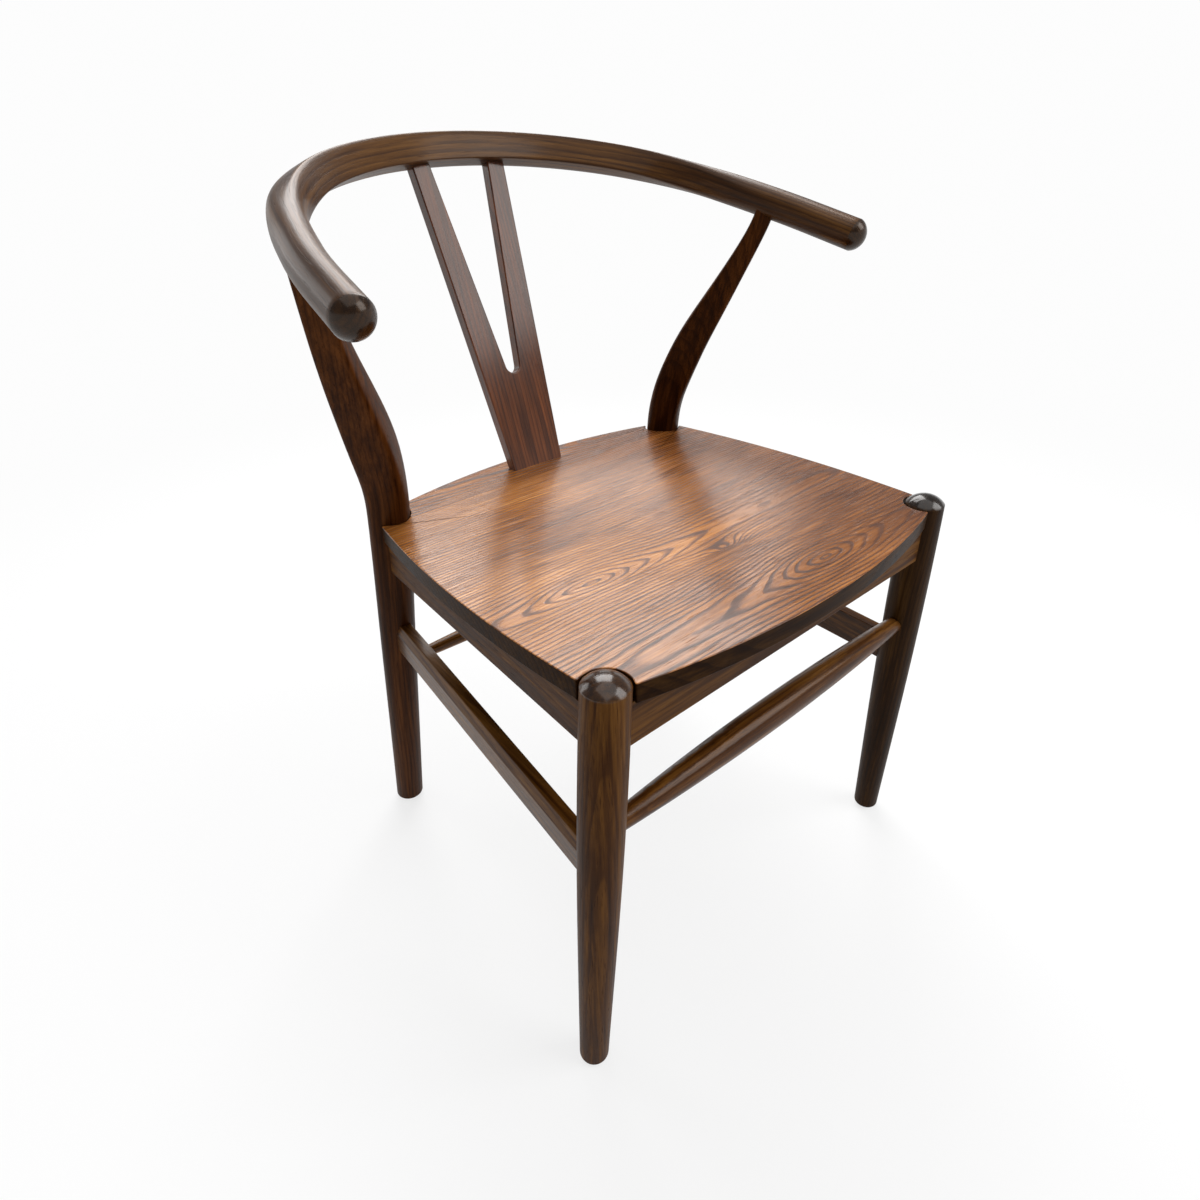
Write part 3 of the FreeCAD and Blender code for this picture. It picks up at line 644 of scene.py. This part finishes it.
rim_drop = math.sqrt(dome_radius ** 2 - arm_radius ** 2)
rim_stop = dome_back + dome_radius - rim_drop
dome_turn = math.asin(arm_radius / dome_radius)
dome_rings = 14
front_dome = []
back_dome = []
for k in range(dome_rings):
    turn = dome_turn * (k + 0.35) / (dome_rings + 0.35)
    size = dome_radius * math.sin(turn) / arm_radius
    reach_in = dome_back + dome_radius - dome_radius * math.cos(turn)
    front_dome.append(rail_ring(rim_stop, size, reach_in - rim_stop))
    back_dome.append(rail_ring(rail_run - rim_stop, size, rim_stop - reach_in))
rail_rings = front_dome
for k in range(rail_ring_count + 1):
    stop = rim_stop + (rail_run - 2 * rim_stop) * k / rail_ring_count
    rail_rings.append(rail_ring(stop, 1.0, 0.0))
rail_rings += reversed(back_dome)
rail = swept("bent_top_rail", rail_rings)
handled = {"rough": 0.46, "shine": 0.22, "coat": 0.14, "figure": 0.22}
rail_stain = tinted(walnut_stain, (0.74, 0.74, 0.74))
rail_half = rail_run / 2
rim_blur = 0.0008
arm_dome = (rail_half, rail_half - rim_stop - rim_blur, rail_half - rim_stop + rim_blur, 0.35)
rail_wood = stained_wood("rail_wood", None, rail_stain, (0.04, 0.05), 0.0044, handled, end=arm_dome)
rail.data.materials.append(rail_wood)
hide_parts("top_rail")
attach(rail, "root")


# Glides: black nylon discs, moulded, with a fine matt grain. Each is pressed into the
# bottom of a foot, so that the legs stand clear of the floor.
glide_nylon, shader, start = new_material("glide_nylon")
x, y, z = grain_coordinates(start, (0, 0, 1))
speckle = noise(x, y, z, (1500, 1500, 1500))
black = [(0.0, (0.012, 0.012, 0.013)), (1.0, (0.035, 0.035, 0.036))]
link(start.node("ValToRGB", {"stops": black}, {"Fac": speckle}), shader, "Base Color")
link(0.45 + speckle * 0.2, shader, "Roughness")
for end in ("front", "rear"):
    dress(glide_nylon, end + "_glide_left", end + "_glide_right")


# Studio: a pale floor that keeps the chair's shadow, a white room, and soft square lamps
# above, behind on both sides and in front on the right. The camera stands where the
# photograph was taken.
floor_mesh = bpy.data.meshes.new("floor")
bm = bmesh.new()
floor_half = 15
bmesh.ops.create_grid(bm, x_segments=1, y_segments=1, size=floor_half)
bm.to_mesh(floor_mesh)
bm.free()
floor = bpy.data.objects.new("floor", floor_mesh)
bpy.context.scene.collection.objects.link(floor)
white_level = 0.98


def direct(start):
    """1 for rays that show the surface itself: from the camera, a gloss or a glass."""
    kinds = ("Is Camera Ray", "Is Glossy Ray", "Is Transmission Ray")
    rays = [start.node("LightPath", out=kind) for kind in kinds]
    return start.maths("MAXIMUM", start.maths("MAXIMUM", rays[0], rays[1]), rays[2])


paper = bpy.data.materials.new("floor_paper")
paper.use_nodes = True
tree = paper.node_tree
tree.nodes.clear()
start = Shade(tree)
place = start.node("TexCoord", out="Object")
away = start.node("VectorMath", {"operation": "LENGTH"}, {0: place}, out="Value")
lit_near = 0.76
far = (lit_near + (1 - lit_near) * rise(away, 0.6, 2.2)) * direct(start)
matt = start.node("BsdfDiffuse", {}, {"Color": (0.84, 0.84, 0.84, 1)})
white = start.node("Emission", {}, {"Color": (1, 1, 1, 1), "Strength": white_level})
mixed = start.node("MixShader", {}, {0: far, 1: matt, 2: white})
start.node("OutputMaterial", {}, {"Surface": mixed})
floor_mesh.materials.append(paper)

world = bpy.data.worlds.new("white_room")
bpy.context.scene.world = world
world.use_nodes = True
tree = world.node_tree
tree.nodes.clear()
start = Shade(tree)
room_light = 0.33
skyward = start.node("TexCoord", out="Generated")
up = start.node("SeparateXYZ", {}, {"Vector": skyward}, out="Z")
band = (1 - rise(up, 0.16, 0.26)) * direct(start)
seen = start.maths("MAXIMUM", band, start.node("LightPath", out="Is Camera Ray"))
strength = room_light + seen * (white_level - room_light)
room = start.node("Background", {}, {"Color": (1, 1, 1, 1), "Strength": strength})
start.node("OutputWorld", {}, {"Surface": room})

lamps = [
    ("overhead_lamp", (0.0, -0.5, 2.7), (0, 0, 0.4), 2.6, 24),
    ("rear_lamp", (1.12, 1.50, 2.46), (0, 0, 0.45), 1.9, 76),
    ("rear_left_lamp", (-0.9, 2.2, 1.5), (0, 0, 0.5), 1.0, 9),
    ("front_right_lamp", (1.50, -1.9, 2.3), (0, 0, 0.5), 1.7, 44),
]
for name, spot, aim, size, watts in lamps:
    data = bpy.data.lights.new(name, "AREA")
    data.shape = "SQUARE"
    data.size = size
    data.energy = watts
    lamp = bpy.data.objects.new(name, data)
    lamp.location = spot
    lamp.rotation_mode = "QUATERNION"
    lamp.rotation_quaternion = (Vector(aim) - Vector(spot)).to_track_quat("-Z", "Y")
    lamp.visible_camera = False
    bpy.context.scene.collection.objects.link(lamp)

lens_pixels = 736.33
picture_pixels = 1200
camera_data = bpy.data.cameras.new("camera")
camera_data.sensor_width = 36
camera_data.lens = lens_pixels / picture_pixels * camera_data.sensor_width
camera_data.clip_start = 0.01
camera = bpy.data.objects.new("camera", camera_data)
heading, tilt, roll = (math.radians(a) for a in (-40.322, 90 - 32.135, -1.571))
camera.matrix_world = (
    Matrix.Translation((-0.47536, -0.30244 - chair_middle, 0.77064))
    @ Matrix.Rotation(heading, 4, "Z")
    @ Matrix.Rotation(tilt, 4, "X")
    @ Matrix.Rotation(roll, 4, "Z")
)
bpy.context.scene.collection.objects.link(camera)
bpy.context.scene.camera = camera
bpy.context.scene.view_settings.view_transform = "Standard"
